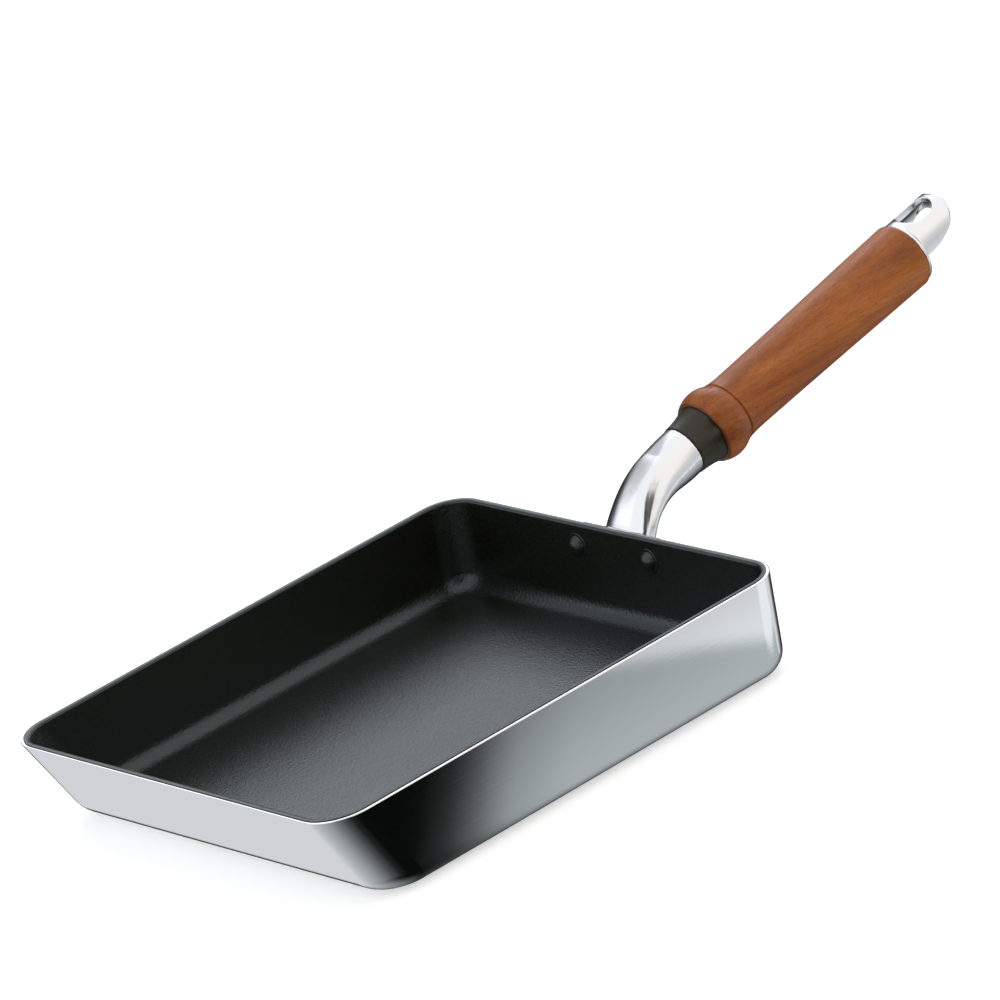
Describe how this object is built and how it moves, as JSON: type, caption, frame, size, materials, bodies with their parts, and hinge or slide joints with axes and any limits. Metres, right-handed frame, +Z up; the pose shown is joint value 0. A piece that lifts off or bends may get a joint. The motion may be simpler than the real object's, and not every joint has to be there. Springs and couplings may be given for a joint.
{
  "type": "rectangular omelette pan",
  "caption": "Rectangular rolled-omelette pan with polished outside, non-stick inside, a raised round wooden handle on a riveted metal neck, and a hanging eye at the tail.",
  "frame": {"origin": "on the underside of the base, below the middle of the rim", "axes": "+X along the pan towards the handle, +Y across the pan towards rivet_left, +Z up out of the pan"},
  "size_m": [0.3578, 0.1694, 0.0853],
  "materials": {
    "polished_aluminium": "mirror polished",
    "nonstick": "black non-stick coat, fine satin grain",
    "cast_metal": "polished casting",
    "rivet_metal": "satin, coated black inside the pan",
    "dark_ferrule": "satin black-brown",
    "stained_beech": "stained and lacquered",
    "plated_steel": "zinc plated"
  },
  "bodies": {
    "root": {"pan_body": "polished_aluminium", "nonstick_coating": "nonstick", "handle_neck": "cast_metal", "rivet_left": "rivet_metal", "rivet_right": "rivet_metal", "ferrule": "dark_ferrule", "wooden_grip": "stained_beech", "tie_rod": "plated_steel", "lock_washer": "plated_steel", "tail_cap": "cast_metal"}
  },
  "joints": []
}
